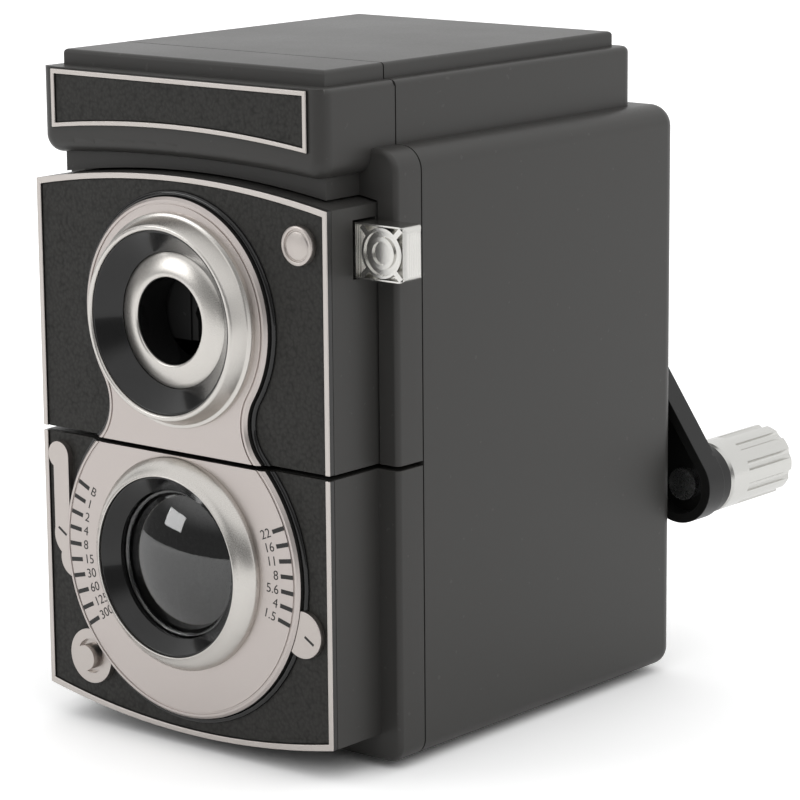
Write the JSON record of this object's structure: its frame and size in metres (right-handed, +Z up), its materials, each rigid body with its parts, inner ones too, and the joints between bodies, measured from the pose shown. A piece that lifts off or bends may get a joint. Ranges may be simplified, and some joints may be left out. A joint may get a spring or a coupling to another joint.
{
  "type": "crank pencil sharpener",
  "caption": "Desk pencil sharpener shaped like a twin-lens box camera: a clamping front slides out, a chip drawer pulls out below, and a rear crank turns a geared helical cutter.",
  "frame": {"origin": "middle of the overall box in plan, on the plane that the rubber feet stand on", "axes": "+Z up, -Y out of the front panel where the pencil goes in, +Y towards the crank, +X to the right of someone facing the back, which is the right of the picture's front view"},
  "size_m": [0.0782, 0.1224, 0.114],
  "materials": {
    "case_plastic": "satin black moulded plastic",
    "inner_plastic": "plain dark moulding",
    "satin_trim": "satin warm silver",
    "leatherette": "fine black grain",
    "gloss_black": "polished black",
    "clear_lens": "clear polished dome",
    "bright_tab": "bright plated",
    "rubber": "matt black",
    "bearing_plastic": "self-lubricating plastic",
    "steel": "drawn steel",
    "gear_metal": "cast metal",
    "cutter_steel": "ground tool steel",
    "arm_plastic": "black moulded plastic",
    "knob_metal": "satin turned knob"
  },
  "bodies": {
    "housing": {"rear_housing": "case_plastic", "front_cover": "case_plastic", "hood_trim_frame": "satin_trim", "hood_leatherette": "leatherette", "rubber_feet": "rubber", "cutter_frame": "inner_plastic", "frame_screws": "steel", "guide_bushes": "bearing_plastic", "rear_bearing": "bearing_plastic", "ring_gear": "gear_metal", "right_feed_spring": "steel", "left_feed_spring": "steel"},
    "carriage": {"carriage_block": "case_plastic", "clamp_retainer": "inner_plastic", "upper_trim_frame": "satin_trim", "upper_leatherette": "leatherette", "upper_lens_plate": "satin_trim", "upper_lens_ring": "satin_trim", "upper_lens_cone": "gloss_black", "pencil_guide_ring": "satin_trim", "corner_stud": "satin_trim", "guide_rods": "steel", "rod_collars": "steel", "right_clamp_spring": "steel", "left_clamp_spring": "steel"},
    "right_clamp": {"right_clamp_tab": "bright_tab", "right_clamp_jaw": "inner_plastic", "right_jaw_pad": "rubber"},
    "left_clamp": {"left_clamp_tab": "bright_tab", "left_clamp_jaw": "inner_plastic", "left_jaw_pad": "rubber"},
    "drawer": {"drawer_front": "case_plastic", "drawer_tray": "inner_plastic", "lower_trim_frame": "satin_trim", "lower_leatherette": "leatherette", "lower_lens_plate": "satin_trim", "lower_lens_ring": "satin_trim", "lower_lens_cone": "gloss_black", "lower_lens_glass": "clear_lens", "speed_lever": "satin_trim", "aperture_pointer": "satin_trim", "flash_boss": "satin_trim"},
    "crank": {"cutter_carrier": "gear_metal", "cutter_pin": "steel", "crank_shaft": "steel", "crank_arm": "arm_plastic", "hub_cap": "arm_plastic", "knob_pin": "steel"},
    "cutter": {"helical_cutter": "cutter_steel", "cutter_pinion": "cutter_steel"},
    "knob": {"crank_knob": "knob_metal"}
  },
  "joints": [
    {"name": "carriage_slide", "type": "slide", "parent": "housing", "child": "carriage", "axis": [0, -1, 0], "range_m": [0, 0.032], "stiffness_N_per_m": 60, "springref_m": -0.02, "deforming": ["right_feed_spring", "left_feed_spring"]},
    {"name": "right_clamp_slide", "type": "slide", "parent": "carriage", "child": "right_clamp", "axis": [-1, 0, 0], "range_m": [0, 0.004], "stiffness_N_per_m": 400, "springref_m": -0.005, "deforming": ["right_clamp_spring"]},
    {"name": "left_clamp_slide", "type": "slide", "parent": "carriage", "child": "left_clamp", "axis": [1, 0, 0], "range_m": [0, 0.004], "stiffness_N_per_m": 400, "springref_m": -0.005, "deforming": ["left_clamp_spring"]},
    {"name": "drawer_slide", "type": "slide", "parent": "housing", "child": "drawer", "axis": [0, -1, 0], "range_m": [0, 0.055]},
    {"name": "crank_turn", "type": "hinge", "parent": "housing", "child": "crank", "pos_m": [-0.00305, 0.03703, 0.0723], "axis": [0, 1, 0], "continuous": true},
    {"name": "cutter_spin", "type": "hinge", "parent": "crank", "child": "cutter", "pos_m": [-0.00305, 0.03703, 0.0723], "axis": [0, 0.9816, -0.1908], "continuous": true},
    {"name": "knob_spin", "type": "hinge", "parent": "crank", "child": "knob", "pos_m": [0.03228, 0, 0.03306], "axis": [0, 1, 0], "continuous": true}
  ],
  "couplings": [
    {"joint": "cutter_spin", "follows": "crank_turn", "ratio": -3}
  ]
}
